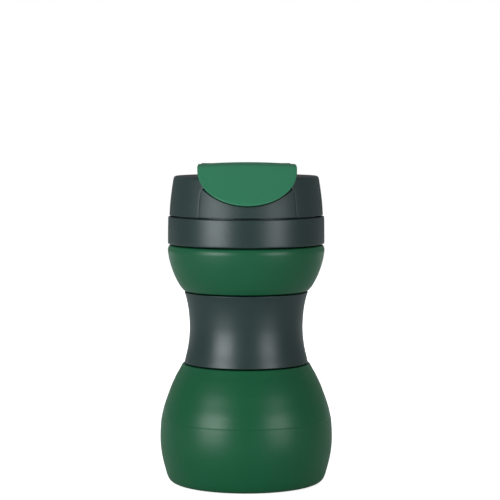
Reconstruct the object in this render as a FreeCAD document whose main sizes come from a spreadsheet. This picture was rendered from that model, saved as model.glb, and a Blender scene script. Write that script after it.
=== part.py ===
"""Collapsible travel cup: a silicone bottle with a rigid grip sleeve, collar, screw lid and flap.

Millimetres, +Z up, origin at the middle of the underside. The front, where one drinks, is -Y.
"""

import FreeCAD, Part

import os
import re
import Sketcher

# Driving dimensions, each with the alias it has in the sheet.
DIMS = {
    # silicone bottle
    "wall": 2.5,
    "floor": 4.0,
    "foot_radius": 37.5,
    "corner_radius": 41.3,
    "corner_height": 3.2,
    "foot_arc_reach": 2.6,
    "foot_arc_rise": 0.9,
    "base_radius": 45.4,
    "base_height": 24.5,
    "side_arc_height": 14.0,
    "side_arc_inset": 0.9,
    "top_arc_rise": 5.0,
    "top_arc_inset": 0.15,
    "inner_corner_height": 7.0,
    "fold_radius": 44.7,
    "fold_height": 34.0,
    "shoulder_arc_height": 48.5,
    "shoulder_arc_inset": 5.0,
    "shoulder_lap": 0.6,
    "shoulder_gap": 0.3,
    "bulb_arc_height": 110.2,
    "bulb_arc_inset": 3.0,
    "crown_radius": 41.2,
    "crown_height": 122.5,
    "crown_top": 125.7,
    "crown_round": 0.9,
    "joint_gap": 0.2,
    # grip sleeve and the waist inside it
    "sleeve_bottom": 63.0,
    "sleeve_top": 100.5,
    "sleeve_radius": 32.6,
    "waist_radius": 29.8,
    "sleeve_wall": 2.4,
    "liner_wall": 1.8,
    "skin_gap": 0.05,
    # collar and threaded neck
    "collar_bottom": 126.3,
    "collar_top": 140.2,
    "collar_radius": 41.1,
    "collar_wall": 2.5,
    "collar_round": 0.6,
    "cuff_wall": 2.3,
    "neck_bore": 33.4,
    "neck_root": 35.3,
    "neck_flange_bottom": 139.0,
    "neck_flange_top": 141.0,
    "neck_flange_radius": 39.6,
    "neck_top": 146.0,
    # thread, two starts
    "thread_lead": 4.0,
    "thread_rise": 2.2,
    "thread_start": 142.4,
    "thread_depth": 1.3,
    "thread_width": 0.8,
    "thread_gap": 0.3,
    "thread_lap": 0.2,
    "thread_flank": 0.15,
    "thread_top": 145.5,
    # lid
    "lid_bottom": 141.3,
    "lid_radius": 40.3,
    "lid_mid_radius": 39.6,
    "lid_mid_height": 150.8,
    "lid_rim_radius": 38.0,
    "lid_rim_height": 160.6,
    "lid_top": 161.8,
    "lid_wall": 1.6,
    "rim_round": 1.0,
    "rim_rise": 0.8,
    "rim_arc_inset": 0.3,
    "rim_arc_rise": 0.5,
    "wing_gap": 0.6,
    "plate_bottom": 147.6,
    "plate_top": 149.5,
    "gasket_top": 147.5,
    "gasket_inset": 0.3,
    "skirt_gap": 0.4,
    "skirt_taper": 0.3,
    "face_clearance": 2.2,
    # spout block
    "block_width": 48.8,
    "block_radius": 40.2,
    "block_gap": 0.2,
    "block_top": 165.7,
    "block_back": 14.0,
    "block_wall": 1.8,
    "block_floor_gap": 0.1,
    "apron_back": 20.0,
    "hollow_step": 3.2,
    "hollow_drop": 5.7,
    "hollow_overlap": 1.0,
    "chimney_height": 10.0,
    "vent_tube_drop": 0.5,
    "block_trim": 2.0,
    "apron_bore": 38.7,
    "spout_length": 18.0,
    "spout_width": 8.0,
    "spout_place": 28.0,
    "vent_radius": 1.6,
    "vent_place": 8.0,
    # flap, a plate bent at 45 degrees
    "tip_reach": 43.0,
    "tip_height": 147.5,
    "flap_radius": 25.4,
    "flap_plate": 2.5,
    "flap_top": 168.5,
    "flap_gap": 0.3,
    "bend_start": 19.2,
    "bend_middle": 20.9,
    "bend_middle_drop": 0.62,
    "bend_end": 17.0,
    "bend_end_drop": 0.1,
    "strap_wide_end": 38.0,
    "strap_narrow_start": 46.0,
    "strap_end": 62.0,
    "hinge_place": 9.0,
    "knuckle_radius": 3.2,
    "knuckle_width": 35.2,
    "knuckle_gap": 0.3,
    "pin_radius": 1.25,
    "pin_gap": 0.05,
    "pin_inset": 1.5,
    "plug_gap": 0.5,
    "plug_depth": 2.4,
    "plug_cut": 15.0,
    "vent_plug_gap": 0.4,
    "vent_plug_length": 1.9,
}

doc = FreeCAD.newDocument("travel_cup")
sheet = doc.addObject("Spreadsheet::Sheet", "Dims")
for row, (alias, size) in enumerate(DIMS.items(), start=1):
    sheet.set(f"A{row}", alias)
    sheet.set(f"B{row}", str(size))
    sheet.setAlias(f"B{row}", alias)
doc.recompute()

# Cuts that go right through the lid, upwards and across, and how far their sketches overhang it.
UP_THROUGH = "40"
ACROSS = "100"
OVERHANG = "20"

# Expressions that several sub-parts share. The flap's faces slope at 45 degrees, so each of its
# planes is z = y + level.
ROOT_TWO = "1.41421356"
FLAP_LEVEL = "(tip_height + tip_reach)"
FLAP_UNDER_LEVEL = f"({FLAP_LEVEL} - flap_plate * {ROOT_TWO})"
BLOCK_LEVEL = f"({FLAP_UNDER_LEVEL} - flap_gap * {ROOT_TWO})"
HINGE_HEIGHT = "(flap_top - knuckle_radius)"
SKIN_RADIUS = "(sleeve_radius - sleeve_wall - liner_wall)"
CUFF_BORE = "(collar_radius - collar_wall - cuff_wall)"


def bound(expression):
    """The expression with every alias pointing at the sheet."""
    return re.sub(r"[a-z_]+", lambda word: f"Dims.{word.group()}" if word.group() in DIMS
                  else word.group(), expression)


def value(expression):
    return float(sheet.evalExpression(bound(expression)))


# ---------------------------------------------------------------- sketch and feature helpers

def new_body(name):
    body = doc.addObject("PartDesign::Body", name)
    body.Label = name
    return body


def new_sketch(body, role, name, offset=None):
    """A sketch on the body's own origin plane, moved by offset in that plane's own frame."""
    sketch = body.newObject("Sketcher::SketchObject", name)
    plane = next(f for f in body.Origin.OriginFeatures if f.Role == role)
    sketch.AttachmentSupport = (plane, "")
    sketch.MapMode = "FlatFace"
    if offset is not None:
        sketch.AttachmentOffset = offset
    return sketch


def bind(sketch, kind, expression, *places):
    """A dimension bound to the sheet."""
    index = sketch.addConstraint(Sketcher.Constraint(kind, *places, value(expression)))
    sketch.setExpression(f"Constraints[{index}]", bound(expression))


def pin_point(sketch, geometry, end, across, up):
    """Hold one point of the sketch at (across, up) from its origin."""
    for kind, axis, expression in (("DistanceX", -2, across), ("DistanceY", -1, up)):
        if expression == "0":
            sketch.addConstraint(Sketcher.Constraint("PointOnObject", geometry, end, axis))
        else:
            bind(sketch, kind, expression, -1, 1, geometry, end)


def add_outline(sketch, steps):
    """A closed outline. Each step is a corner (across, up), reached from the one before by a
    straight line, or by an arc if the step also gives the arc's middle point."""
    corners = [FreeCAD.Vector(value(step[0]), value(step[1]), 0) for step in steps]
    ends = []
    for number, step in enumerate(steps):
        start, end = corners[number - 1], corners[number]
        if len(step) == 2:
            geometry = sketch.addGeometry(Part.LineSegment(start, end))
        else:
            middle = FreeCAD.Vector(value(step[2]), value(step[3]), 0)
            leftward = (middle - start).cross(end - middle).z > 0
            arc = Part.Arc(start, middle, end) if leftward else Part.Arc(end, middle, start)
            geometry = sketch.addGeometry(arc)
            point = sketch.addGeometry(Part.Point(middle), True)
            pin_point(sketch, point, 1, step[2], step[3])
            sketch.addConstraint(Sketcher.Constraint("PointOnObject", point, 1, geometry))
        first = 1 if (sketch.getPoint(geometry, 1) - start).Length < 1e-6 else 2
        ends.append((geometry, first, 3 - first))
    for number, step in enumerate(steps):
        geometry, _, last = ends[number]
        after, first, _ = ends[(number + 1) % len(steps)]
        sketch.addConstraint(Sketcher.Constraint("Coincident", geometry, last, after, first))
        pin_point(sketch, geometry, last, step[0], step[1])


def add_circle(sketch, radius, across="0", up="0"):
    centre = FreeCAD.Vector(value(across), value(up), 0)
    geometry = sketch.addGeometry(Part.Circle(centre, FreeCAD.Vector(0, 0, 1), value(radius)))
    pin_point(sketch, geometry, 3, across, up)
    bind(sketch, "Radius", radius, geometry)


def add_slot(sketch, length, width, up):
    """A slot with round ends, across the sketch, its middle at the height up."""
    half = f"(({length}) - ({width})) / 2"
    low, high = f"{up} - ({width}) / 2", f"{up} + ({width}) / 2"
    add_outline(sketch, [
        (f"-{half}", low, f"-({length}) / 2", up),
        (half, low),
        (half, high, f"({length}) / 2", up),
        (f"-{half}", high),
    ])


def extrude(body, kind, sketch, length, middle=False, down=False):
    """A Pad or Pocket. A pocket has to take material away and a pad has to add it."""
    before = body.Shape.Volume if body.Tip else 0.0
    feature = body.newObject(f"PartDesign::{kind}", f"{kind}_{sketch.Name}")
    feature.Profile = sketch
    feature.Type = "Length"
    feature.setExpression("Length", bound(length))
    feature.SideType = "Symmetric" if middle else "One side"
    feature.Reversed = down
    doc.recompute()
    change = body.Shape.Volume - before
    if change * (1 if kind == "Pad" else -1) <= 0:
        raise RuntimeError(f"{feature.Name} in {body.Label} changed nothing")
    return feature


def turn(body, name, steps):
    """A solid of revolution about Z, from an outline of (radius, height) steps."""
    sketch = new_sketch(body, "XZ_Plane", f"{name}_outline")
    add_outline(sketch, steps)
    feature = body.newObject("PartDesign::Revolution", f"{name}_turned")
    feature.Profile = sketch
    feature.ReferenceAxis = (sketch, ["V_Axis"])
    feature.Angle = 360
    doc.recompute()
    return feature


def raised(height):
    return FreeCAD.Placement(FreeCAD.Vector(0, 0, value(height)), FreeCAD.Rotation())


def thread(body, name, root, crest, start_angle):
    """Two thread starts on a cylinder of radius root, ending at radius crest."""
    turned = FreeCAD.Rotation(FreeCAD.Vector(0, 1, 0), start_angle)
    sketch = new_sketch(body, "XZ_Plane", f"{name}_section", FreeCAD.Placement(
        FreeCAD.Vector(), turned))
    low = "thread_start - thread_width / 2"
    high = "thread_start + thread_width / 2"
    add_outline(sketch, [(root, low), (crest, f"{low} + thread_flank"),
                         (crest, f"{high} - thread_flank"), (root, high)])
    helix = body.newObject("PartDesign::AdditiveHelix", f"{name}_start")
    helix.Profile = sketch
    helix.ReferenceAxis = (sketch, ["V_Axis"])
    helix.Mode = "pitch-height-angle"
    helix.setExpression("Pitch", bound("thread_lead"))
    helix.setExpression("Height", bound("thread_rise"))
    doc.recompute()
    pattern = body.newObject("PartDesign::PolarPattern", f"{name}_starts")
    pattern.Originals = [helix]
    pattern.Axis = (sketch, ["V_Axis"])
    pattern.Angle = 360
    pattern.Occurrences = 2
    body.Tip = pattern
    doc.recompute()


# ---------------------------------------------------------------- silicone bottle

def silicone_base_cup():
    """Floor and lower wall, up to the line where the wall starts to fold."""
    body = new_body("silicone_base_cup")
    turn(body, "base_cup", [
        ("0", "0"),
        ("foot_radius", "0"),
        ("corner_radius", "corner_height", "foot_radius + foot_arc_reach",
         "foot_arc_rise"),
        ("base_radius", "base_height", "base_radius - side_arc_inset", "side_arc_height"),
        ("fold_radius", "fold_height", "base_radius - top_arc_inset",
         "base_height + top_arc_rise"),
        ("fold_radius - wall", "fold_height"),
        ("base_radius - wall", "base_height", "base_radius - wall - top_arc_inset",
         "base_height + top_arc_rise"),
        ("corner_radius - wall", "inner_corner_height", "base_radius - wall - side_arc_inset",
         "side_arc_height + 1"),
        ("foot_radius - wall", "floor", "foot_radius - wall + foot_arc_reach + 0.1",
         "floor + foot_arc_rise"),
        ("0", "floor"),
    ])
    return body


def silicone_lower_shoulder():
    """The wall that rolls down around the sleeve as the cup collapses."""
    body = new_body("silicone_lower_shoulder")
    turn(body, "lower_shoulder", [
        ("fold_radius - wall", "fold_height", "base_radius - wall - shoulder_arc_inset - 0.4",
         "shoulder_arc_height - 0.5"),
        ("fold_radius", "fold_height"),
        ("sleeve_radius + shoulder_lap", "sleeve_bottom - shoulder_gap",
         "base_radius - shoulder_arc_inset", "shoulder_arc_height"),
        (SKIN_RADIUS, "sleeve_bottom - shoulder_gap"),
    ])
    return body


def silicone_waist_liner():
    """The waist of the bottle, bonded inside the grip sleeve."""
    body = new_body("silicone_waist_liner")
    outside = "(sleeve_wall + skin_gap)"
    middle = "(sleeve_bottom + sleeve_top) / 2"
    turn(body, "waist_liner", [
        (SKIN_RADIUS, "sleeve_bottom", "waist_radius - sleeve_wall - liner_wall", middle),
        (f"sleeve_radius - {outside}", "sleeve_bottom"),
        (f"sleeve_radius - {outside}", "sleeve_top", f"waist_radius - {outside}", middle),
        (SKIN_RADIUS, "sleeve_top"),
    ])
    return body


def silicone_upper_bulb():
    """The wall that rolls up around the sleeve, between the waist and the collar."""
    body = new_body("silicone_upper_bulb")
    turn(body, "upper_bulb", [
        (SKIN_RADIUS, "sleeve_top + joint_gap", "crown_radius - wall - bulb_arc_inset - 0.1",
         "bulb_arc_height - 0.2"),
        ("sleeve_radius", "sleeve_top + joint_gap"),
        ("crown_radius", "crown_height", "crown_radius - bulb_arc_inset",
         "bulb_arc_height"),
        ("crown_radius - crown_round", "crown_top", "crown_radius - 0.1", "crown_top - 1.1"),
        (CUFF_BORE, "crown_top"),
        ("crown_radius - wall - 0.3", "crown_height - 1.5"),
    ])
    return body


def silicone_mouth_rim():
    """The bottle's mouth, moulded inside the collar ring."""
    body = new_body("silicone_mouth_rim")
    outside = "collar_radius - collar_wall - skin_gap"
    turn(body, "mouth_rim", [
        (CUFF_BORE, "crown_top + joint_gap"),
        (outside, "crown_top + joint_gap"),
        (outside, "neck_flange_bottom - joint_gap"),
        (CUFF_BORE, "neck_flange_bottom - joint_gap"),
    ])
    return body


# ---------------------------------------------------------------- rigid rings

def grip_sleeve():
    """Hourglass sleeve around the waist, which both halves of the bottle roll over."""
    body = new_body("grip_sleeve")
    middle = "(sleeve_bottom + sleeve_top) / 2"
    turn(body, "sleeve", [
        ("sleeve_radius - sleeve_wall", "sleeve_bottom", "waist_radius - sleeve_wall", middle),
        ("sleeve_radius", "sleeve_bottom"),
        ("sleeve_radius", "sleeve_top", "waist_radius", middle),
        ("sleeve_radius - sleeve_wall", "sleeve_top"),
    ])
    return body


def collar_ring():
    """Rigid band around the mouth."""
    body = new_body("collar_ring")
    sagitta = "0.3 * collar_round"
    turn(body, "collar", [
        ("collar_radius - collar_wall", "collar_bottom"),
        ("collar_radius - collar_round", "collar_bottom"),
        ("collar_radius", "collar_bottom + collar_round", f"collar_radius - {sagitta}",
         f"collar_bottom + {sagitta}"),
        ("collar_radius", "collar_top - collar_round"),
        ("collar_radius - collar_round", "collar_top", f"collar_radius - {sagitta}",
         f"collar_top - {sagitta}"),
        ("collar_radius - collar_wall", "collar_top"),
    ])
    return body


def neck_ring():
    """Neck with the outside thread. Its flange sits on and inside the collar ring."""
    body = new_body("neck_ring")
    turn(body, "neck", [
        ("neck_bore", "neck_flange_bottom"),
        ("collar_radius - collar_wall - skin_gap", "neck_flange_bottom"),
        ("collar_radius - collar_wall - skin_gap", "collar_top + skin_gap"),
        ("neck_flange_radius", "collar_top + skin_gap"),
        ("neck_flange_radius", "neck_flange_top"),
        ("neck_root", "neck_flange_top"),
        ("neck_root", "neck_top"),
        ("neck_bore", "neck_top"),
    ])
    thread(body, "neck_thread", "neck_root - thread_lap", "neck_root + thread_depth", 0)
    return body


# ---------------------------------------------------------------- lid

def lid_gasket():
    """Seal between the top of the neck and the lid's inner plate."""
    body = new_body("lid_gasket")
    turn(body, "gasket", [
        ("neck_bore + gasket_inset", "neck_top"),
        ("neck_root", "neck_top"),
        ("neck_root", "gasket_top"),
        ("neck_bore + gasket_inset", "gasket_top"),
    ])
    return body


def threaded_liner():
    """Inner cap of the lid: thread, sealing plate, spout hole and vent."""
    body = new_body("threaded_liner")
    bore = "neck_root + thread_depth + thread_gap"
    seat = "neck_root + thread_gap"
    skirt = "(lid_radius - lid_wall - skirt_gap)"
    under_face = f"{BLOCK_LEVEL} - face_clearance"
    turn(body, "liner", [
        ("0", "plate_bottom"),
        (seat, "plate_bottom"),
        (seat, "thread_top"),
        (bore, "thread_top"),
        (bore, "lid_bottom + skirt_gap"),
        (skirt, "lid_bottom + skirt_gap"),
        (f"{skirt} - skirt_taper", f"{under_face} - ({skirt} - skirt_taper)"),
        (f"{under_face} - plate_top", "plate_top"),
        ("0", "plate_top"),
    ])
    thread(body, "liner_thread", f"{bore} + thread_lap", f"{bore} - thread_depth", -90)
    through_plate(body, "liner")
    return body


def through_plate(body, name):
    """The spout and the vent, straight down through the lid."""
    spout = new_sketch(body, "XY_Plane", f"{name}_spout", raised("plate_bottom - 1"))
    add_slot(spout, "spout_length", "spout_width", "-spout_place")
    extrude(body, "Pocket", spout, UP_THROUGH, down=True)
    vent = new_sketch(body, "XY_Plane", f"{name}_vent", raised("plate_bottom - 1"))
    add_circle(vent, "vent_radius", up="-vent_place")
    extrude(body, "Pocket", vent, UP_THROUGH, down=True)


def lid_shell():
    """Outer cover of the lid, open at the front where the spout block stands."""
    body = new_body("lid_shell")
    turn(body, "shell", [
        ("lid_radius - lid_wall", "lid_bottom", "lid_mid_radius - lid_wall", "lid_mid_height"),
        ("lid_radius", "lid_bottom"),
        ("lid_rim_radius", "lid_rim_height", "lid_mid_radius", "lid_mid_height"),
        ("lid_rim_radius - rim_round", "lid_rim_height + rim_rise",
         "lid_rim_radius - rim_arc_inset", "lid_rim_height + rim_arc_rise"),
        ("0", "lid_top"),
        ("0", "lid_top - lid_wall"),
        ("lid_rim_radius - lid_wall - rim_round", "lid_rim_height - rim_rise"),
    ])
    opening = new_sketch(body, "XY_Plane", "shell_opening", raised("lid_bottom - 1"))
    half = "block_width / 2 + block_gap"
    back = "block_back + block_gap"
    front = f"-lid_radius - {OVERHANG}"
    add_outline(opening, [(f"-({half})", front), (half, front), (half, back),
                          (f"-({half})", back)])
    extrude(body, "Pocket", opening, UP_THROUGH, down=True)
    under_flap = new_sketch(body, "YZ_Plane", "shell_under_flap")
    above_slope(under_flap)
    extrude(body, "Pocket", under_flap, "2 * (flap_radius + wing_gap)", middle=True)
    return body


def above_slope(sketch):
    """Side view of everything in front of the 45 degree plane that the flap closes against."""
    top, front = f"flap_top + {OVERHANG}", f"-block_radius - {OVERHANG}"
    add_outline(sketch, [(f"lid_bottom - {BLOCK_LEVEL}", "lid_bottom"),
                         (f"{top} - {BLOCK_LEVEL}", top), (front, top), (front, "lid_bottom")])


def spout_block():
    """Front of the lid: an apron below, a 45 degree face with the spout, and the hinge ears."""
    body = new_body("spout_block")
    front, floor = "-block_radius - block_trim", "plate_top + block_floor_gap"
    side = new_sketch(body, "YZ_Plane", "block_side")
    add_outline(side, [
        (front, "lid_bottom + block_floor_gap"),
        ("-apron_back", "lid_bottom + block_floor_gap"),
        ("-apron_back", floor),
        ("block_back", floor),
        ("block_back", "block_top"),
        (front, "block_top"),
    ])
    extrude(body, "Pad", side, "block_width", middle=True)

    hollow = new_sketch(body, "YZ_Plane", "block_hollow")
    slope = f"{BLOCK_LEVEL} - block_wall * {ROOT_TWO}"
    low = "plate_top - hollow_overlap"
    add_outline(hollow, [
        (f"{low} - ({slope})", low),
        (f"block_top - block_wall - ({slope})", "block_top - block_wall"),
        ("hollow_step", "block_top - block_wall"),
        ("hollow_step", "block_top - hollow_drop"),
        ("block_back - block_wall", "block_top - hollow_drop"),
        ("block_back - block_wall", low),
    ])
    extrude(body, "Pocket", hollow, "block_width - 2 * block_wall", middle=True)

    chimney = new_sketch(body, "XY_Plane", "block_chimney", raised(floor))
    add_slot(chimney, "spout_length + 2 * block_wall", "spout_width + 2 * block_wall",
             "-spout_place")
    extrude(body, "Pad", chimney, "chimney_height")
    vent_tube = new_sketch(body, "XY_Plane", "block_vent_tube", raised(floor))
    add_circle(vent_tube, "vent_radius + block_wall", up="-vent_place")
    extrude(body, "Pad", vent_tube, "block_top - plate_top - vent_tube_drop")

    ears = new_sketch(body, "YZ_Plane", "block_ears")
    add_circle(ears, "knuckle_radius", "hinge_place", HINGE_HEIGHT)
    extrude(body, "Pad", ears, "block_width", middle=True)
    knuckle_slot = new_sketch(body, "YZ_Plane", "block_knuckle_slot")
    low = f"{HINGE_HEIGHT} - knuckle_radius - knuckle_gap"
    reach = "(knuckle_radius + knuckle_gap)"
    add_outline(knuckle_slot, [(f"hinge_place - {reach}", low), ("block_back + 1", low),
                               ("block_back + 1", "flap_top + 1"),
                               (f"hinge_place - {reach}", "flap_top + 1")])
    extrude(body, "Pocket", knuckle_slot, "knuckle_width + 2 * knuckle_gap", middle=True)

    around = new_sketch(body, "XY_Plane", "block_around", raised("lid_bottom - 1"))
    add_circle(around, "block_radius")
    add_circle(around, f"block_radius + {OVERHANG}")
    extrude(body, "Pocket", around, UP_THROUGH, down=True)
    face = new_sketch(body, "YZ_Plane", "block_face")
    above_slope(face)
    extrude(body, "Pocket", face, ACROSS, middle=True)
    inside = new_sketch(body, "XY_Plane", "block_inside", raised("lid_bottom - 1"))
    add_circle(inside, "apron_bore")
    extrude(body, "Pocket", inside, "plate_top + 1 + block_floor_gap - lid_bottom", down=True)
    through_plate(body, "block")
    pin_hole = new_sketch(body, "YZ_Plane", "block_pin_hole")
    add_circle(pin_hole, "pin_radius", "hinge_place", HINGE_HEIGHT)
    extrude(body, "Pocket", pin_hole, ACROSS, middle=True)
    return body


def hinge_pin():
    body = new_body("hinge_pin")
    section = new_sketch(body, "YZ_Plane", "pin_section")
    add_circle(section, "pin_radius", "hinge_place", HINGE_HEIGHT)
    extrude(body, "Pad", section, "block_width - 2 * pin_inset", middle=True)
    return body


# ---------------------------------------------------------------- flap

def flap():
    """Tab that covers the spout: a half-disc face at 45 degrees and a strap to the hinge."""
    body = new_body("flap")
    side = new_sketch(body, "YZ_Plane", "flap_side")
    under = "flap_top - flap_plate"
    add_outline(side, [
        ("-tip_reach", "tip_height"),
        (f"-tip_reach + flap_plate / {ROOT_TWO}", f"tip_height - flap_plate / {ROOT_TWO}"),
        (f"{under} - {FLAP_UNDER_LEVEL}", under),
        ("hinge_place", under),
        ("hinge_place", "flap_top"),
        ("-bend_end", "flap_top - bend_end_drop"),
        ("-tip_reach + bend_start", "tip_height + bend_start", "-bend_middle",
         "flap_top - bend_middle_drop"),
    ])
    extrude(body, "Pad", side, "flap_radius * 2", middle=True)
    knuckle = new_sketch(body, "YZ_Plane", "flap_knuckle")
    add_circle(knuckle, "knuckle_radius", "hinge_place", HINGE_HEIGHT)
    extrude(body, "Pad", knuckle, "knuckle_width", middle=True)

    # Seen square to the sloping face, with the tip at the origin.
    tilt = FreeCAD.Rotation(FreeCAD.Vector(1, 0, 0), 45)
    tip = FreeCAD.Vector(0, -value("tip_reach"), value("tip_height"))
    trim = new_sketch(body, "XY_Plane", "flap_trim", FreeCAD.Placement(tip, tilt))
    side = f"flap_radius + {OVERHANG}"
    top = f"strap_end + {OVERHANG}"
    add_outline(trim, [(f"-({side})", f"-{OVERHANG}"), (side, f"-{OVERHANG}"), (side, top),
                       (f"-({side})", top)])
    neck = "knuckle_width / 2"
    across, up = f"flap_radius / {ROOT_TWO}", f"flap_radius - flap_radius / {ROOT_TWO}"
    add_outline(trim, [
        ("flap_radius", "flap_radius", across, up),
        ("flap_radius", "strap_wide_end"),
        (neck, "strap_narrow_start"),
        (neck, "strap_end"),
        (f"-({neck})", "strap_end"),
        (f"-({neck})", "strap_narrow_start"),
        ("-flap_radius", "strap_wide_end"),
        ("-flap_radius", "flap_radius"),
        ("0", "0", f"-{across}", up),
    ])
    extrude(body, "Pocket", trim, ACROSS, middle=True)
    bore = new_sketch(body, "YZ_Plane", "flap_bore")
    add_circle(bore, "pin_radius + pin_gap", "hinge_place", HINGE_HEIGHT)
    extrude(body, "Pocket", bore, ACROSS, middle=True)
    return body


def spout_stopper():
    """Plug under the flap that closes the spout, cut to the flap's slope at both ends."""
    body = new_body("spout_stopper")
    section = new_sketch(body, "XY_Plane", "stopper_section", raised("plate_top"))
    add_slot(section, "spout_length - 2 * plug_gap", "spout_width - 2 * plug_gap", "-spout_place")
    extrude(body, "Pad", section, "plug_cut")
    ends = new_sketch(body, "YZ_Plane", "stopper_ends")
    for level, sign in ((FLAP_UNDER_LEVEL, 1), (f"({BLOCK_LEVEL} - plug_depth)", -1)):
        middle = f"{level} - spout_place"
        add_outline(ends, [("-spout_place - plug_cut", f"{middle} - plug_cut"),
                           ("-spout_place + plug_cut", f"{middle} + plug_cut"),
                           (f"-spout_place - {sign} * plug_cut", f"{middle} + {sign} * plug_cut")])
    extrude(body, "Pocket", ends, ACROSS, middle=True)
    return body


def vent_plug():
    body = new_body("vent_plug")
    section = new_sketch(body, "XY_Plane", "vent_plug_section",
                         raised("flap_top - flap_plate - vent_plug_length"))
    add_circle(section, "vent_radius - vent_plug_gap", up="-vent_place")
    extrude(body, "Pad", section, "vent_plug_length")
    return body


# ---------------------------------------------------------------- build, test, write

SUB_PARTS = (silicone_base_cup, silicone_lower_shoulder, silicone_waist_liner,
             silicone_upper_bulb, silicone_mouth_rim, grip_sleeve, collar_ring, neck_ring,
             lid_gasket, threaded_liner, lid_shell, spout_block, hinge_pin, flap,
             spout_stopper, vent_plug)

bodies = [make() for make in SUB_PARTS]
doc.recompute()

for item in doc.Objects:
    if {"Invalid", "Error"} & set(item.State):
        raise RuntimeError(f"{item.Label} did not build: {item.State}")
for body in bodies:
    shape = body.Shape
    if shape.isNull() or not shape.isValid() or not shape.Solids:
        raise RuntimeError(f"{body.Label} has no valid solid")

os.makedirs("parts", exist_ok=True)
for body in bodies:
    body.Shape.exportStep(f"parts/{body.Label}.step")
    box = body.Shape.BoundBox
    print(f"{body.Label:24} solids {len(body.Shape.Solids)}  volume {body.Shape.Volume:9.0f}"
          f"  z {box.ZMin:6.1f} to {box.ZMax:6.1f}")
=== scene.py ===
"""Looks of the collapsible travel cup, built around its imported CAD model.

The frame is in metres, +Z up, with the front at -Y. Lengths below are in millimetres, except in
the studio, which is in metres. A mesh is scaled by MM when it is made.
"""

import math

import bmesh
import bpy
from mathutils import Matrix, Vector


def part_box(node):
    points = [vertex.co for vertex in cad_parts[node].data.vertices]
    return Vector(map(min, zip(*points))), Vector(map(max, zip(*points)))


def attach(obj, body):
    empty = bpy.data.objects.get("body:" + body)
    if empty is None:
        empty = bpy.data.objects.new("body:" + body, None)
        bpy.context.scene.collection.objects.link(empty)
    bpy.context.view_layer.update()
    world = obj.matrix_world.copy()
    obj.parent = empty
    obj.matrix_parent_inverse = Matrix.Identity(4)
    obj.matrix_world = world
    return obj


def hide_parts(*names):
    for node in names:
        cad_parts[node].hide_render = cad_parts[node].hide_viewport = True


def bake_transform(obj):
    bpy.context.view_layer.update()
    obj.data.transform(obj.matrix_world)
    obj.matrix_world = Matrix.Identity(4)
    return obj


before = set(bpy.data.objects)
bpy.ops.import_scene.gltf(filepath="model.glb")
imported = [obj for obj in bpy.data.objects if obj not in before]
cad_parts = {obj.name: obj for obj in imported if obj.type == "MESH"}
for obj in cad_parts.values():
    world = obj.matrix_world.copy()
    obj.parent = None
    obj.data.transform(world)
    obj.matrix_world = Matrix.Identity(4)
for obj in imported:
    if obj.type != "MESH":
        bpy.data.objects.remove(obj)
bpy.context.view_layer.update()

MM = 0.001
TURNS = 144            # columns around a turned piece
ROW = 0.7              # length of a step along a turned piece's outline
FILLET_STEPS = 5       # steps across a rounded corner of an outline
CREASE = 35            # degrees; sharper edges are shaded sharp
WELD = 1e-4            # points closer than this become one


# ------------------------------------------------------------------ places, from the frame

def extent(node):
    """Lowest and highest corner of a CAD node, in millimetres."""
    low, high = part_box(node)
    return low / MM, high / MM


LID_DROP = 0.3         # the lid cover reaches lower than its CAD node

SLEEVE_LOW, SLEEVE_TOP = (corner.z for corner in extent("grip_sleeve"))
SLEEVE_RADIUS = extent("grip_sleeve")[1].x
BULB_TOP = extent("silicone_upper_bulb")[1].z
COLLAR_LOW, COLLAR_TOP = (corner.z for corner in extent("collar_ring"))
COLLAR_RADIUS = extent("collar_ring")[1].x
NECK_TOP = extent("neck_ring")[1].z
LID_LOW = extent("lid_shell")[0].z - LID_DROP
LID_RADIUS = extent("lid_shell")[1].x
PLATE_TOP = extent("threaded_liner")[1].z
FLAP_WIDTH = extent("flap")[1].x
FLAP_TOP = extent("flap")[1].z
TIP_Y = extent("flap")[0].y
HINGE_Y = sum(corner.y for corner in extent("hinge_pin")) / 2
HINGE_Z = sum(corner.z for corner in extent("hinge_pin")) / 2
BLOCK_BACK = extent("spout_block")[1].y

# The flap and the face under it slope at 45 degrees: each plane is z = y + level.
FLAP_PLATE = 2.5       # thickness of the flap
FACE_GAP = 0.42        # between the flap and the face, measured along Z
TIP_Z = extent("flap")[0].z + FLAP_PLATE / math.sqrt(2)
FLAP_LEVEL = TIP_Z - TIP_Y
UNDER_LEVEL = FLAP_LEVEL - FLAP_PLATE * math.sqrt(2)
FACE_LEVEL = UNDER_LEVEL - FACE_GAP


# ------------------------------------------------------------------ outline helpers

def spline(points, step=ROW):
    """A smooth curve through the points, sampled about every step."""
    points = [Vector(point[:2]) for point in points]
    ends = [2 * points[0] - points[1]] + points + [2 * points[-1] - points[-2]]
    curve = [points[0]]
    for before, start, end, after in zip(ends, ends[1:], ends[2:], ends[3:]):
        count = max(1, round((end - start).length / step))
        for number in range(1, count + 1):
            t = number / count
            curve.append(0.5 * (2 * start + (end - before) * t
                                + (2 * before - 5 * start + 4 * end - after) * t * t
                                + (3 * start - before - 3 * end + after) * t ** 3))
    return curve


def bezier(a, b, c, steps):
    """Points on a bend from a to c, drawn towards b, without a itself."""
    return [a.lerp(b, n / steps).lerp(b.lerp(c, n / steps), n / steps)
            for n in range(1, steps + 1)]


def cut_back(curve, length):
    """The curve without its first stretch of the given length."""
    rest = list(curve)
    while length > 0 and len(rest) > 1:
        span = (rest[1] - rest[0]).length
        if span > length:
            rest[0] = rest[0].lerp(rest[1], length / span)
            return rest
        length -= span
        rest.pop(0)
    return rest


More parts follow.
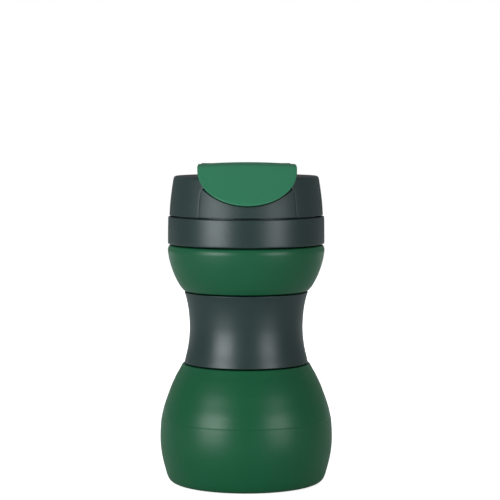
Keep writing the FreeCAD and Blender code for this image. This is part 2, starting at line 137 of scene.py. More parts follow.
def outline(points):
    """A closed outline. A point (r, z) lies on a smooth run. A point (r, z, fillet) is a corner
    between two runs, rounded over that length."""
    first = next(i for i, point in enumerate(points) if len(point) == 3)
    points = points[first:] + points[:first]
    corners = [i for i, point in enumerate(points) if len(point) == 3] + [len(points)]
    points = points + points[:1]
    runs = []
    for start, end in zip(corners, corners[1:]):
        run = spline(points[start:end + 1])
        run = cut_back(run, points[start][2])
        run = cut_back(run[::-1], points[end][2])[::-1]
        runs.append((run, points[end]))
    line = []
    for (run, (radius, height, fillet)), (after, _) in zip(runs, runs[1:] + runs[:1]):
        line += run
        if fillet > 0:
            line += bezier(run[-1], Vector((radius, height)), after[0], FILLET_STEPS)[:-1]
    return [p for p, q in zip(line, line[1:] + line[:1]) if (p - q).length > WELD]


def along(path, count):
    """Evenly spaced points along a path of straight runs."""
    lengths = [(b - a).length for a, b in zip(path, path[1:])]
    total = sum(lengths)
    points = []
    for number in range(count):
        left = total * number / (count - 1)
        for a, b, length in zip(path, path[1:], lengths):
            if left <= length + 1e-9:
                points.append(a.lerp(b, left / length))
                break
            left -= length
    return points


def around(radius, angle):
    """The x and y of a point at a radius, turned from the front towards +X."""
    return radius * math.sin(angle), -radius * math.cos(angle)


def slot_section(length, width, middle_y, inset=0.0, count=14):
    """A slot with round ends, along x."""
    half = (length - width) / 2
    radius = width / 2 - inset
    points = []
    for side in (1, -1):
        for number in range(count + 1):
            angle = math.pi * number / count - math.pi / 2
            points.append((side * (half + radius * math.cos(angle)),
                           middle_y + side * radius * math.sin(angle)))
    return points


# ------------------------------------------------------------------ mesh helpers

def shade(piece, crease=CREASE):
    for face in piece.data.polygons:
        face.use_smooth = True
    piece.data.set_sharp_from_angle(angle=math.radians(crease))


def new_piece(name, build, crease=CREASE):
    """A mesh object from a function that fills a bmesh in millimetres."""
    work = bmesh.new()
    build(work)
    bmesh.ops.remove_doubles(work, verts=work.verts, dist=WELD)
    bmesh.ops.recalc_face_normals(work, faces=work.faces)
    bmesh.ops.scale(work, vec=(MM, MM, MM), verts=work.verts)
    mesh = bpy.data.meshes.new(name)
    work.to_mesh(mesh)
    work.free()
    piece = bpy.data.objects.new(name, mesh)
    bpy.context.scene.collection.objects.link(piece)
    shade(piece, crease)
    return piece


def grid(work, rows, closed=False):
    """Quads between rows of points. A closed row joins its last point to its first."""
    made = [[work.verts.new(point) for point in row] for row in rows]
    for row, after in zip(made, made[1:]):
        pairs = list(zip(row, after))
        pairs = list(zip(pairs, pairs[1:] + pairs[:1] if closed else pairs[1:]))
        for (a, d), (b, c) in pairs:
            work.faces.new((a, b, c, d))
    return made


def loft(work, rings):
    """A solid through rings of points, with a face at each end."""
    made = grid(work, rings, closed=True)
    work.faces.new(made[0])
    work.faces.new(made[-1])


def prism(work, section, low, high):
    """A solid over a section, between two heights."""
    loft(work, [[(x, y, height) for x, y in section] for height in (low, high)])


def turn(work, profile):
    """A solid of revolution from a closed outline of (radius, height) points."""
    made = []
    on_axis = [radius < 1e-6 for radius, _ in profile]
    for (radius, height), axis in zip(profile, on_axis):
        ring = [(*around(radius, 2 * math.pi * column / TURNS), height)
                for column in range(TURNS)]
        if axis:
            made.append([work.verts.new(ring[0])] * TURNS)
        else:
            made.append([work.verts.new(point) for point in ring])
    for i, ring in enumerate(made):
        j = (i + 1) % len(made)
        if on_axis[i] and on_axis[j]:
            continue
        for k in range(TURNS):
            n = (k + 1) % TURNS
            corners = []
            for vertex in (ring[k], ring[n], made[j][n], made[j][k]):
                if vertex not in corners:
                    corners.append(vertex)
            work.faces.new(corners)


def turned_piece(name, points):
    return new_piece(name, lambda work: turn(work, outline(points)))


def apply_modifiers(piece):
    bpy.context.view_layer.update()
    graph = bpy.context.evaluated_depsgraph_get()
    mesh = bpy.data.meshes.new_from_object(piece.evaluated_get(graph))
    piece.modifiers.clear()
    piece.data = mesh


def thicken(piece, depth):
    """Give an open skin, which faces mostly upwards, a thickness on its lower side."""
    if sum(face.normal.z * face.area for face in piece.data.polygons) < 0:
        piece.data.flip_normals()
    solid = piece.modifiers.new("thickness", "SOLIDIFY")
    solid.thickness = depth * MM
    solid.offset = -1
    solid.use_even_offset = True
    apply_modifiers(piece)


def soften(piece, width, angle, segments=3):
    """Round every edge sharper than the angle, in degrees."""
    bevel = piece.modifiers.new("edges", "BEVEL")
    bevel.width = width * MM
    bevel.segments = segments
    bevel.limit_method = "ANGLE"
    bevel.angle_limit = math.radians(angle)
    bevel.use_clamp_overlap = True
    apply_modifiers(piece)
    shade(piece)


def cut(piece, section, low, high):
    """Cut a prism out of the piece."""
    tool = new_piece("tool", lambda work: prism(work, section, low, high))
    step = piece.modifiers.new("cut", "BOOLEAN")
    step.operation = "DIFFERENCE"
    step.solver = "EXACT"
    step.object = tool
    apply_modifiers(piece)
    bpy.data.objects.remove(tool)


# ------------------------------------------------------------------ materials

MOTTLE = 0.3           # share of the lighter colour in the mottling
MOTTLE_SCALE = 60      # clouds per metre
GLOSS_SPREAD = 0.04    # roughness to either side of a material's own
GRAIN_HEIGHT = 0.0001  # metres
GREEN, GREEN_LIGHT = "0e5635", "135d3c"
DARK, DARK_LIGHT = "203433", "253a38"


def colour(hex_code):
    """Linear colour from an sRGB hex code."""
    parts = [int(hex_code[i:i + 2], 16) / 255 for i in (0, 2, 4)]
    return tuple(p / 12.92 if p < 0.04045 else ((p + 0.055) / 1.055) ** 2.4 for p in parts) + (1,)


def moulded(name, base, light, roughness, grain, bump, specular=0.5):
    """A moulded material: a base colour with faint mottling, and a fine moulded grain.
    grain is the size of the grain in millimetres."""
    material = bpy.data.materials.new(name)
    material.use_nodes = True
    nodes, links = material.node_tree.nodes, material.node_tree.links
    shader = nodes["Principled BSDF"]
    shader.inputs["Specular IOR Level"].default_value = specular

    place = nodes.new("ShaderNodeTexCoord")
    cloud = nodes.new("ShaderNodeTexNoise")
    cloud.inputs["Scale"].default_value = MOTTLE_SCALE
    cloud.inputs["Detail"].default_value = 4
    links.new(place.outputs["Object"], cloud.inputs["Vector"])
    tint = nodes.new("ShaderNodeMix")
    tint.data_type = "RGBA"
    tint.inputs["A"].default_value = colour(base)
    tint.inputs["B"].default_value = colour(light)
    spread = nodes.new("ShaderNodeMath")
    spread.operation = "MULTIPLY"
    spread.inputs[1].default_value = MOTTLE
    links.new(cloud.outputs["Fac"], spread.inputs[0])
    links.new(spread.outputs["Value"], tint.inputs["Factor"])
    links.new(tint.outputs["Result"], shader.inputs["Base Color"])

    fine = nodes.new("ShaderNodeTexNoise")
    fine.inputs["Scale"].default_value = 1 / (grain * MM)
    fine.inputs["Detail"].default_value = 3
    fine.inputs["Roughness"].default_value = 0.6
    links.new(place.outputs["Object"], fine.inputs["Vector"])
    raised = nodes.new("ShaderNodeBump")
    raised.inputs["Strength"].default_value = bump
    raised.inputs["Distance"].default_value = GRAIN_HEIGHT
    links.new(fine.outputs["Fac"], raised.inputs["Height"])
    links.new(raised.outputs["Normal"], shader.inputs["Normal"])

    gloss = nodes.new("ShaderNodeMapRange")
    gloss.inputs["To Min"].default_value = roughness - GLOSS_SPREAD
    gloss.inputs["To Max"].default_value = roughness + GLOSS_SPREAD
    links.new(cloud.outputs["Fac"], gloss.inputs["Value"])
    links.new(gloss.outputs["Result"], shader.inputs["Roughness"])
    return material


SILICONE = moulded("silicone_green", GREEN, GREEN_LIGHT, 0.35, 0.35, 0.25, specular=0.35)
# The upper bulb is the same silicone as the lower bottle, painted lighter: painted light that
# stands in for light falling on it from the front and below.
PAINTED_LIGHT_SILICONE = moulded("silicone_green_painted_light", "16593a", "1b6041", 0.35, 0.35, 0.25,
                         specular=0.35)
PLASTIC = moulded("plastic_dark", DARK, DARK_LIGHT, 0.37, 0.28, 0.25)
LID_PLASTIC = moulded("plastic_dark_satin", DARK, DARK_LIGHT, 0.46, 0.28, 0.25)
FLAP_GREEN = moulded("flap_green", "32815e", "3a8866", 0.42, 0.30, 0.20)
SEAL = moulded("seal_silicone", GREEN, GREEN_LIGHT, 0.42, 0.30, 0.15)
STEEL = moulded("pin_steel", "b4b6b8", "c4c6c8", 0.30, 0.20, 0.15)
STEEL.node_tree.nodes["Principled BSDF"].inputs["Metallic"].default_value = 1.0


def finish_piece(piece, material, body, slot, *nodes):
    """Material, body, material slot and the CAD nodes that a piece stands for; the slot is not
    used. A piece that is blended between two bodies has no body here."""
    piece.data.materials.clear()
    piece.data.materials.append(material)
    if nodes:
        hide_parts(*nodes)
    if body:
        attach(piece, body)


# ------------------------------------------------------------------ silicone bottle

# The dark gaps between the bottle and the sleeve are open. Both walls end at the liner.
LOWER_END = SLEEVE_LOW - 0.45
UPPER_START = SLEEVE_TOP + 0.75
WALL_INSIDE = SLEEVE_RADIUS - 2
BEAD_TOP = BULB_TOP - 0.5


def lower_bottle():
    """Base and lower bulb. The upper wall is thin, because it rolls down around the sleeve. A
    small step at r 44.7 is the line where the wall starts to roll."""
    piece = turned_piece("bottle_lower", [
        (0, 1.0, 0), (28.0, 1.0, 0.5), (30.0, 0.0, 0.8), (36.6, 0.0, 0.5), (38.9, 0.25),
        (40.6, 1.35), (41.85, 3.6), (42.8, 6.8), (43.9, 11.0), (44.8, 15.6), (45.32, 20.5),
        (45.4, 25.5), (45.15, 30.3), (44.88, 33.3), (44.85, 33.65), (44.70, 33.82), (44.56, 35.0),
        (43.3, 40.2), (41.6, 45.2), (39.5, 50.8), (37.0, 56.2), (35.1, 59.6),
        (33.5, LOWER_END, 0.5), (WALL_INSIDE, LOWER_END, 0.3),
        (WALL_INSIDE, LOWER_END - 1.4, 0.2), (33.2, 59.2), (36.3, 54.0), (39.0, 48.3),
        (41.2, 42.6), (42.7, 37.4), (42.9, 33.0), (42.7, 24.0), (42.0, 15.0), (39.6, 8.0),
        (35.0, 4.6), (30.0, 4.0, 0), (0, 4.0, 0)])
    finish_piece(piece, SILICONE, None, "bottle_silicone", "silicone_base_cup",
                 "silicone_lower_shoulder")
    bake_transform(piece)


def upper_bottle():
    """Upper bulb, which rolls up around the sleeve, and the bead that meets the collar."""
    piece = turned_piece("bottle_upper", [
        (WALL_INSIDE, UPPER_START, 0.2), (SLEEVE_RADIUS + 0.25, UPPER_START, 0.5),
        (33.8, 102.4), (35.3, 104.4), (37.5, 108.6), (39.15, 112.9), (40.35, 117.0),
        (41.0, 120.6), (41.2, 122.6), (40.95, 124.0), (40.4, BEAD_TOP, 0.9),
        (36.4, BEAD_TOP, 0.3), (37.0, 123.4), (38.6, 119.6), (38.2, 115.0), (36.8, 110.5),
        (34.4, 106.0), (31.8, 102.6)])
    # The upper bulb gets the lighter silicone, which is painted light.
    finish_piece(piece, PAINTED_LIGHT_SILICONE, None, "bottle_silicone", "silicone_upper_bulb")
    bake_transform(piece)


# ------------------------------------------------------------------ rigid rings

SLEEVE_EDGE = SLEEVE_LOW + 0.15
SLEEVE_INSIDE = SLEEVE_RADIUS - 2.4
COLLAR_EDGE = COLLAR_LOW - 0.45
COLLAR_INSIDE = COLLAR_RADIUS - 2.5
CUFF_LOW = COLLAR_LOW + 0.2
CUFF_RADIUS = COLLAR_INSIDE - 0.05
CUFF_INSIDE = 36.3
SHOULDER = COLLAR_TOP - 0.7            # top of the cuff, deep in the gap below the lid
NECK_ROOT = 35.3
NECK_BORE = 33.4

THREAD_STARTS = (0, 180)               # degrees
THREAD_SWEEP = 198                     # degrees
THREAD_STEPS = 60
THREAD_LOW, THREAD_RISE = 142.4, 2.2
THREAD_DEPTH = 1.3
THREAD_RUN_OUT = 10                    # an end fades over 1 / 10 of the thread
THREAD_FOOT, THREAD_CREST = 0.9, 0.35  # half heights
THREAD_SUNK = 0.3                      # into the neck's wall


def grip_sleeve():
    piece = turned_piece("sleeve", [
        (SLEEVE_RADIUS, SLEEVE_EDGE, 0.5), (31.9, 66.2), (31.0, 70.0), (30.3, 74.2),
        (29.9, 78.6), (29.8, 82.5), (30.05, 87.4), (30.5, 91.6), (31.2, 95.6), (31.9, 98.4),
        (SLEEVE_RADIUS, SLEEVE_TOP, 0.5), (SLEEVE_INSIDE, SLEEVE_TOP, 0.3), (28.4, 93.0),
        (27.4, 81.75), (28.4, 70.5), (SLEEVE_INSIDE, SLEEVE_EDGE, 0.3)])
    finish_piece(piece, PLASTIC, "grip", "dark_plastic", "grip_sleeve")


def collar_ring():
    piece = turned_piece("collar", [
        (COLLAR_INSIDE, COLLAR_EDGE, 0.3), (COLLAR_RADIUS + 0.05, COLLAR_EDGE, 0.7),
        (COLLAR_RADIUS, (COLLAR_LOW + COLLAR_TOP) / 2), (COLLAR_RADIUS - 0.12, COLLAR_TOP, 0.6),
        (COLLAR_INSIDE, COLLAR_TOP, 0.3)])
    finish_piece(piece, PLASTIC, "collar", "dark_plastic", "collar_ring")


def thread(start):
    """Rings along one thread, from a start angle in degrees."""
    rings = []
    for step in range(THREAD_STEPS + 1):
        share = step / THREAD_STEPS
        angle = math.radians(start + THREAD_SWEEP * share)
        height = THREAD_LOW + THREAD_RISE * share
        fade = min(1, THREAD_RUN_OUT * share, THREAD_RUN_OUT * (1 - share))
        root, crest = NECK_ROOT - THREAD_SUNK, NECK_ROOT + (THREAD_DEPTH * fade + 0.02)
        rings.append([(*around(radius, angle), height + rise) for radius, rise in (
            (root, -THREAD_FOOT), (root, THREAD_FOOT),
            (crest, THREAD_CREST), (crest, -THREAD_CREST))])
    return rings


def neck():
    """Cuff inside the collar, and the neck with its two threads."""
    def build(work):
        turn(work, outline([
            (CUFF_INSIDE, CUFF_LOW, 0.3), (CUFF_RADIUS, CUFF_LOW, 0.3),
            (CUFF_RADIUS, SHOULDER, 0.4), (NECK_ROOT, SHOULDER, 0.2), (NECK_ROOT, NECK_TOP, 0.5),
            (NECK_BORE, NECK_TOP, 0.5), (NECK_BORE, 138.6, 0.3), (CUFF_INSIDE, 136.6, 0.3)]))
        for start in THREAD_STARTS:
            loft(work, thread(start))
    finish_piece(new_piece("neck", build), PLASTIC, "collar", "dark_plastic", "neck_ring")


# ------------------------------------------------------------------ lid shell

RIM_RADIUS, RIM_HEIGHT = 37.0, 161.35  # where the lid's wall meets its deck
LID_CROWN = 0.6                        # rise of the deck to its middle
LID_THICKNESS = 1.6
LID_COLUMNS, DECK_ROWS = 181, 10
LID_WALL = [(LID_RADIUS, LID_LOW), (39.95, 146.6), (39.5, 150.8), (38.95, 155.0),
            (38.4, 158.6), (38.05, 160.3), (37.65, 161.05), (RIM_RADIUS, RIM_HEIGHT)]
OPENING = 23.75                        # half width of the opening in the deck

SEAM_LOW, SEAM_HALF = 141.3, 25.15     # the seam's height and half width at its lower end
SEAM_LEAN, LEAN_TOP = 0.085, 154       # inwards per millimetre of height, up to a height
SEAM_BEND, BEND_LOW = 0.14, 152.8      # inwards with the square of the height over a height

FLAP_RADIUS = FLAP_WIDTH + 0.2
FLAP_CLEARANCE = 0.4                   # between the lid shell and the flap's edge


def seam(height):
    """Half width of the seam between the lid shell and the spout block."""
    lean = SEAM_HALF - SEAM_LEAN * (min(height, LEAN_TOP) - SEAM_LOW)
    return lean - SEAM_BEND * max(0, height - BEND_LOW) ** 2


def lid_wall_radius(height):
    curve = spline(LID_WALL)
    for low, high in zip(curve, curve[1:]):
        if low.y <= height <= high.y:
            return low.x + (high.x - low.x) * (height - low.y) / (high.y - low.y)
    return curve[-1].x


def deck_height(x, y):
    return RIM_HEIGHT + LID_CROWN * (1 - (x * x + y * y) / RIM_RADIUS ** 2)


def flap_half(height):
    """Half width of the flap at a height on its outer face."""
    along_slope = (height - TIP_Z) * math.sqrt(2)
    if along_slope >= FLAP_RADIUS:
        return FLAP_RADIUS
    return math.sqrt(max(0, FLAP_RADIUS ** 2 - (FLAP_RADIUS - along_slope) ** 2))


def wing_edge(height):
    """Half width of the lid shell's front opening: the seam, and then clear of the flap."""
    return max(seam(height), flap_half(height) + FLAP_CLEARANCE)


def lid_shell():
    """The wall, row by row from one side of the front opening to the other, and then the deck,
    from the rim in to the edge of the block's opening."""
    rows = []
    for radius, height in spline(LID_WALL, 0.5):
        first = math.asin(wing_edge(height) / radius)
        sweep = 2 * math.pi - 2 * first
        rows.append([Vector((*around(radius, first + sweep * column / (LID_COLUMNS - 1)), height))
                     for column in range(LID_COLUMNS)])
    rim = rows[-1]
    notch, front = rim[0].xy
    notch_back = RIM_HEIGHT - FACE_LEVEL + 0.6
    back = BLOCK_BACK + 0.25
    right = [Vector((notch, front)), Vector((notch, notch_back)),
             Vector((OPENING, notch_back + 0.3)), Vector((OPENING, back)), Vector((0, back))]
    left = [Vector((-point.x, point.y)) for point in right[-2::-1]]
    edge = along(right + left, LID_COLUMNS)
    for step in range(1, DECK_ROWS + 1):
        points = [outer.xy.lerp(inner, step / DECK_ROWS) for outer, inner in zip(rim, edge)]
        rows.append([Vector((x, y, deck_height(x, y))) for x, y in points])
    piece = new_piece("lid_cover", lambda work: grid(work, rows))
    thicken(piece, LID_THICKNESS)
    soften(piece, 0.04, angle=50, segments=2)
    finish_piece(piece, LID_PLASTIC, "lid", "dark_plastic", "lid_shell")


# ------------------------------------------------------------------ spout block

SPOUT = (18.0, 8.0, -28.0)             # length, width and middle of the spout hole
CHANNEL_WALL = 1.3
BLOCK_TOP = 165.7
BLOCK_SHOULDER = 154.6                 # above this, the block's sides are upright
BLOCK_COLUMNS = 49
SEAM_GAP = 0.2
FRONT_ROWS, SLOPE_ROWS = 14, 20
CUT_LOW, CUT_HIGH = 140, 172           # heights well clear of the block
CHEEK_LOW, CHEEK_RISE, CHEEK_STEPS = 155.8, 5.6, 12
CHEEK_DEPTH = 1.7

KNUCKLE_RADIUS = 2.5
KNUCKLE_HALF = 17.5
EAR_INSIDE = 17.9                      # from the middle to the ear's inner face
POCKET_FRONT, POCKET_BACK, POCKET_FLOOR = 5.5, 20, 161.9    # room for the flap's knuckle
EAR_STEPS = 16


def block_half(height):
    return seam(min(height, BLOCK_SHOULDER)) - SEAM_GAP


def fold_height(u):
    """Where the block's front wall meets its sloping face, at a share u of the half width. Each
    round brings the height nearer."""
    height = 150.0
    for _ in range(20):
        height = FACE_LEVEL - math.sqrt(lid_wall_radius(height) ** 2
                                        - (u * block_half(height)) ** 2)
    return height


def block_section(u):
    """The closed outline of the block at a share u of its half width."""
    def wall(radius, height):
        x = u * block_half(height)
        return Vector((x, -math.sqrt(radius ** 2 - x * x), height))

    def level(y, height):
        return Vector((u * block_half(height), y, height))

    low, floor, fold = LID_LOW + 0.1, PLATE_TOP + 0.1, fold_height(u)
    points = []
    for step in range(FRONT_ROWS):
        height = low + (fold - low) * step / FRONT_ROWS
        points.append(wall(lid_wall_radius(height), height))
    for step in range(SLOPE_ROWS):
        height = fold + (BLOCK_TOP - fold) * step / SLOPE_ROWS
        points.append(level(height - FACE_LEVEL, height))
    inside = wall(LID_RADIUS - LID_THICKNESS, floor)
    inside.y = max(inside.y, floor - FACE_LEVEL + 1.8)      # stays behind the slope
    corners = [level(BLOCK_TOP - FACE_LEVEL, BLOCK_TOP), level(BLOCK_BACK, BLOCK_TOP),
               level(BLOCK_BACK, floor), inside, wall(LID_RADIUS - LID_THICKNESS, low)]
    for (start, end), count in zip(zip(corners, corners[1:]), (16, 8, 12, 4)):
        points += [start.lerp(end, step / count) for step in range(count)]
    return points + [corners[-1]]


def spout_block():
    across = [2 * column / (BLOCK_COLUMNS - 1) - 1 for column in range(BLOCK_COLUMNS)]
    pocket = [(-EAR_INSIDE, POCKET_FRONT), (EAR_INSIDE, POCKET_FRONT),
              (EAR_INSIDE, POCKET_BACK), (-EAR_INSIDE, POCKET_BACK)]
    piece = new_piece("spout_body", lambda work: loft(work, [block_section(u) for u in across]))
    cut(piece, slot_section(*SPOUT), CUT_LOW, CUT_HIGH)
    cut(piece, pocket, POCKET_FLOOR, CUT_HIGH)
    soften(piece, 0.45, angle=30)
    finish_piece(piece, LID_PLASTIC, "lid", "dark_plastic", "spout_block")


def side_name(name, side):
    return name + ("_right" if side > 0 else "_left")


def spout_cheek(side):
    """Carries the sloping face sideways to the lid shell, under the flap's edge."""
    inner = seam(BLOCK_SHOULDER) - SEAM_GAP - 0.2
    rings = []
    for step in range(CHEEK_STEPS + 1):
        height = CHEEK_LOW + CHEEK_RISE * step / CHEEK_STEPS
        outer = max(inner + 0.1, wing_edge(height) - 0.1)
        y = height - FACE_LEVEL
        rings.append([(side * x, back, height) for x, back in (
            (inner, y), (outer, y), (outer, y + CHEEK_DEPTH), (inner, y + CHEEK_DEPTH))])
    piece = new_piece(side_name("spout_cheek", side), lambda work: loft(work, rings))
    finish_piece(piece, LID_PLASTIC, "lid", "dark_plastic")


def spout_channel():
    """The tube that carries the drink up to the hole, with a small raised lip."""
    inner, outer = slot_section(*SPOUT), slot_section(*SPOUT, inset=-CHANNEL_WALL)
    floor = PLATE_TOP + 0.05
    rows = [[(x, y, floor) for x, y in outer],
            [(x, y, y + FACE_LEVEL - 0.6) for x, y in outer],
            [(x, y, y + FACE_LEVEL - 0.05) for x, y in inner],
            [(x, y, floor) for x, y in inner]]
    piece = new_piece("spout_channel", lambda work: grid(work, rows + rows[:1], closed=True))
    finish_piece(piece, LID_PLASTIC, "lid", "dark_plastic")


def hinge_ear(side):
    """One ear: a rounded top around the pin and a foot on the lid."""
    section = [(HINGE_Y - KNUCKLE_RADIUS, RIM_HEIGHT), (HINGE_Y + KNUCKLE_RADIUS, RIM_HEIGHT)]
    for number in range(EAR_STEPS + 1):
        angle = math.pi * number / EAR_STEPS
        section.append((HINGE_Y + KNUCKLE_RADIUS * math.cos(angle),
                        HINGE_Z + KNUCKLE_RADIUS * math.sin(angle)))
    piece = new_piece(side_name("hinge_ear", side), lambda work: loft(
        work, [[(side * x, y, z) for y, z in section] for x in (EAR_INSIDE, OPENING - SEAM_GAP)]))
    soften(piece, 0.4, angle=40)
    finish_piece(piece, LID_PLASTIC, "lid", "dark_plastic")


# ------------------------------------------------------------------ flap

FOLD_DROP = 1.5                        # the first bend lies this far below the flap's top
CREST_RUN = 4.2                        # from the first bend back to the second
FOLD_REACH, CREST_REACH = 0.65, 1.6    # half lengths of the two bends
BEND_STEPS, STRAP_STEPS = 6, 14
HALF_COLUMNS, DISC_ROWS = 14, 14
FLAP_CROWN = 1.0                       # the plate bulges by half of this in the middle
CROWN_END, CROWN_FADE = 2, 12          # flat this far before the hinge, after a fade
FLAP_CORNER = 0.9                      # the plate narrows this much at the top, each side
CORNER_RISE = 1.4                      # over this height
TAPER_START, TAPER_RUN = -9, 11        # the strap narrows to the knuckle from here, over this
FLAP_ROUNDING, FLAP_UNDERCUT = 0.3, 2.0
ROUNDING_STEPS = 5
KNUCKLE_STEPS = 40
STOPPER = [(-1.2, 0.0), (-1.2, 0.5), (0.5, 0.9), (0.55, 2.6), (0.9, 3.4), (1.7, 3.9)]


def flap_line():
    """The flap's upper centre line from its tip to the hinge, as points (y, z)."""
    tip = Vector((TIP_Y, TIP_Z))
    fold = tip + Vector((1, 1)) * (FLAP_TOP - TIP_Z - FOLD_DROP)
    crest = Vector((fold.x + CREST_RUN, FLAP_TOP))
    hinge = Vector((HINGE_Y, HINGE_Z + KNUCKLE_RADIUS))
    line = [tip]
    for before, bend, after, reach in ((tip, fold, crest, FOLD_REACH),
                                       (fold, crest, hinge, CREST_REACH)):
        start = bend + (before - bend).normalized() * reach
        end = bend + (after - bend).normalized() * reach
        line += [start] + bezier(start, bend, end, BEND_STEPS)
    strap = line[-1]
    return line + [strap.lerp(hinge, step / STRAP_STEPS) for step in range(1, STRAP_STEPS + 1)]


FLAP_LINE = flap_line()


def on_line(distance):
    """The point, and the upward direction there, at a distance along the centre line."""
    for before, after in zip(FLAP_LINE, FLAP_LINE[1:]):
        span = (after - before).length
        if distance <= span + 1e-6 or after is FLAP_LINE[-1]:
            run = (after - before) / span
            return before + run * distance, Vector((-run.y, run.x))
        distance -= span


def clamp(value):
    return min(1, max(0, value))


def strap_half(point):
    """Half width of the flap behind its half disc, at a point (y, z) of the centre line."""
    taper = clamp((point.x - TAPER_START) / TAPER_RUN)
    climb = clamp((point.y - FLAP_TOP + CORNER_RISE) / CORNER_RISE)
    wide = FLAP_RADIUS - FLAP_CORNER * (1 - math.sqrt(1 - climb ** 2))
    return wide - (wide - KNUCKLE_HALF) * taper * taper * (3 - 2 * taper)


def flap_rows(inset, depth):
    """Rows of points over the flap, moved in from its edge and down into its thickness."""
    def place(x, distance, half):
        point, up = on_line(distance)
        flat = clamp((HINGE_Y - CROWN_END - point.x) / CROWN_FADE)
        crown = FLAP_CROWN * flat * (0.5 - (x / half) ** 2) * (1 - depth / FLAP_PLATE)
        point = point + up * (crown - depth)
        return Vector((x, point.x, point.y))

    across = [step / HALF_COLUMNS for step in range(-HALF_COLUMNS, HALF_COLUMNS + 1)]
    radius = FLAP_RADIUS - inset
    rows = []
    for step in range(DISC_ROWS, 0, -1):
        v = step / DISC_ROWS
        rows.append([place(radius * u * math.sqrt(1 - v * v / 2),
                           FLAP_RADIUS - radius * v * math.sqrt(1 - u * u / 2), FLAP_RADIUS)
                     for u in across])
    stops, reached = [FLAP_RADIUS], 0
    for before, after in zip(FLAP_LINE, FLAP_LINE[1:]):
        reached += (after - before).length
        stops.append(reached)
    for stop in stops:
        half = strap_half(on_line(stop)[0])
        rows.append([place((half - inset) * u, stop, half) for u in across])
    return rows


def edge_of(rows):
    """The points round the edge of a grid of rows."""
    return (rows[0] + [row[-1] for row in rows[1:]] + rows[-1][-2::-1]
            + [row[0] for row in rows[-2:0:-1]])


def flap():
    """The tab: a half disc on the slope, bent back into a strap that ends at the hinge. Its
    upper rim is rounded, and its lower rim is cut back, so that a finger can lift it."""
    def tab(work):
        grid(work, flap_rows(FLAP_ROUNDING, 0))
        grid(work, flap_rows(FLAP_UNDERCUT, FLAP_PLATE))
        rings = []
        for step in range(ROUNDING_STEPS + 1):
            angle = math.pi / 2 * step / ROUNDING_STEPS
            rings.append((FLAP_ROUNDING * (1 - math.sin(angle)),
                          FLAP_ROUNDING * (1 - math.cos(angle))))
        rings += [(0, FLAP_PLATE - FLAP_UNDERCUT), (FLAP_UNDERCUT, FLAP_PLATE)]
        grid(work, [edge_of(flap_rows(inset, depth)) for inset, depth in rings], closed=True)

    def barrel(work):
        angles = [2 * math.pi * number / KNUCKLE_STEPS for number in range(KNUCKLE_STEPS)]
        loft(work, [[(x, HINGE_Y + KNUCKLE_RADIUS * math.cos(angle),
                      HINGE_Z + KNUCKLE_RADIUS * math.sin(angle)) for angle in angles]
                    for x in (-KNUCKLE_HALF, KNUCKLE_HALF)])

    plate = new_piece("flap_tab", tab, crease=40)
    knuckle = new_piece("flap_knuckle", barrel)
    soften(knuckle, 0.3, angle=50)
    finish_piece(plate, FLAP_GREEN, "flap", "flap_plastic", "flap")
    finish_piece(knuckle, FLAP_GREEN, "flap", "flap_plastic")


def spout_stopper():
    """Soft plug under the flap, with a rounded end. STOPPER gives how far each ring lies inside
    the spout hole's edge, and how far below the flap."""
    rings = [[(x, y, y + UNDER_LEVEL - depth) for x, y in slot_section(*SPOUT, inset=inset)]
             for inset, depth in STOPPER]
    piece = new_piece("stopper", lambda work: loft(work, rings), crease=50)
    finish_piece(piece, SEAL, "flap", "seal_silicone", "spout_stopper")


# ------------------------------------------------------------------ carried-over CAD nodes

CARRIED = {
    "silicone_waist_liner": SILICONE,
    "silicone_mouth_rim": SILICONE,
    "threaded_liner": PLASTIC,
    "lid_gasket": SEAL,
    "vent_plug": SEAL,
    "hinge_pin": STEEL,
}


def dress_cad_nodes():
    for node, material in CARRIED.items():
        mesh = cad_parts[node].data
        mesh.materials.clear()
        mesh.materials.append(material)


# ------------------------------------------------------------------ studio, in metres

CAMERA_TURN = -1.3     # degrees about the cup's axis
CAMERA_PLACE = (0.0020, -1.021, 0.1934)
CAMERA_TARGET = (0.0020, 0, 0.1223)
LENS, SENSOR = 140, 36                 # millimetres
LIGHT_TARGET = (0, 0, 0.09)
LIGHT_COLOUR = (0.94, 1.0, 1.0)
ROOM_LIGHT = 0.22      # light from all around the object, where 1 is white
FLOOR_HALF = 6000      # millimetres
FLOOR_DROP = 0.2       # millimetres below the foot, so that the two faces don't fight
FLOOR_WHITE = 0.95
FLOOR_GLOW = 0.80      # added to the floor as the camera sees it
FLOOR_BOUNCE = 0.62    # share of light that comes back from the floor
SOFTBOXES = (          # place, size, watts, and whether the cup mirrors it
    ("left_softbox", (-0.83, -0.80, 0.26), (0.68, 0.50), 9.1, True),
    ("right_softbox", (0.78, -0.86, 0.26), (0.56, 0.50), 4.7, True),
    ("back_left_fill", (-0.70, 1.00, 0.40), (0.50, 0.60), 5, False),
    ("back_right_fill", (0.70, 1.00, 0.40), (0.50, 0.60), 4, False),
)


def add_to_scene(name, data, place, target):
    """A camera or a light at a place, aimed at a target."""
    thing = bpy.data.objects.new(name, data)
    thing.location = place
    thing.rotation_euler = (target - thing.location).to_track_quat("-Z", "Y").to_euler()
    bpy.context.scene.collection.objects.link(thing)
    return thing


def camera():
    data = bpy.data.cameras.new("camera")
    data.lens = LENS
    data.sensor_width = SENSOR
    turned = Matrix.Rotation(math.radians(CAMERA_TURN), 3, "Z")
    bpy.context.scene.camera = add_to_scene(
        "camera", data, turned @ Vector(CAMERA_PLACE), turned @ Vector(CAMERA_TARGET))


def softbox(name, place, size, power, glossy):
    data = bpy.data.lights.new(name, "AREA")
    data.shape = "RECTANGLE"
    data.size, data.size_y = size
    data.energy = power
    data.color = LIGHT_COLOUR
    add_to_scene(name, data, place, Vector(LIGHT_TARGET)).visible_glossy = glossy


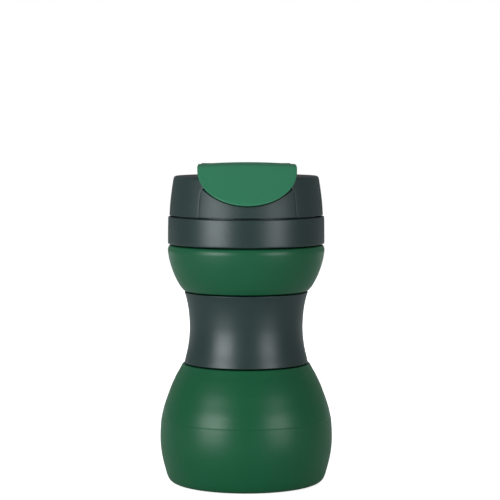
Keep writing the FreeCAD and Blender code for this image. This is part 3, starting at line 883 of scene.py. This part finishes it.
def white_floor():
    """A floor that the camera sees as white, and that sends back less light than it shows."""
    floor = new_piece("floor", lambda work: grid(work, [
        [(x, y, -FLOOR_DROP) for x in (-FLOOR_HALF, FLOOR_HALF)]
        for y in (-FLOOR_HALF, FLOOR_HALF)]))
    material = bpy.data.materials.new("floor_white")
    material.use_nodes = True
    nodes, links = material.node_tree.nodes, material.node_tree.links
    seen = nodes["Principled BSDF"]
    seen.inputs["Base Color"].default_value = (FLOOR_WHITE, FLOOR_WHITE, FLOOR_WHITE, 1)
    seen.inputs["Roughness"].default_value = 0.9
    seen.inputs["Specular IOR Level"].default_value = 0
    seen.inputs["Emission Color"].default_value = (1, 1, 1, 1)
    seen.inputs["Emission Strength"].default_value = FLOOR_GLOW
    bounce = nodes.new("ShaderNodeBsdfDiffuse")
    bounce.inputs["Color"].default_value = (FLOOR_BOUNCE, FLOOR_BOUNCE, FLOOR_BOUNCE, 1)
    path = nodes.new("ShaderNodeLightPath")
    choose = nodes.new("ShaderNodeMixShader")
    links.new(path.outputs["Is Camera Ray"], choose.inputs["Fac"])
    links.new(bounce.outputs["BSDF"], choose.inputs[1])
    links.new(seen.outputs["BSDF"], choose.inputs[2])
    links.new(choose.outputs["Shader"], nodes["Material Output"].inputs["Surface"])
    floor.data.materials.append(material)


def white_world():
    """White surroundings for the camera, which light the object much less than the softboxes."""
    world = bpy.data.worlds.new("studio")
    world.use_nodes = True
    nodes, links = world.node_tree.nodes, world.node_tree.links
    nodes["Background"].inputs["Color"].default_value = (1, 1, 1, 1)
    path = nodes.new("ShaderNodeLightPath")
    strength = nodes.new("ShaderNodeMapRange")
    strength.inputs["To Min"].default_value = ROOM_LIGHT
    strength.inputs["To Max"].default_value = 1.0
    links.new(path.outputs["Is Camera Ray"], strength.inputs["Value"])
    links.new(strength.outputs["Result"], nodes["Background"].inputs["Strength"])
    bpy.context.scene.world = world


def studio():
    bpy.context.scene.view_settings.view_transform = "Standard"
    white_floor()
    white_world()
    for light in SOFTBOXES:
        softbox(*light)


# ------------------------------------------------------------------ build

lower_bottle()
upper_bottle()
grip_sleeve()
collar_ring()
neck()
lid_shell()
spout_block()
spout_cheek(-1)
spout_cheek(1)
spout_channel()
hinge_ear(-1)
hinge_ear(1)
flap()
spout_stopper()
dress_cad_nodes()
camera()
studio()
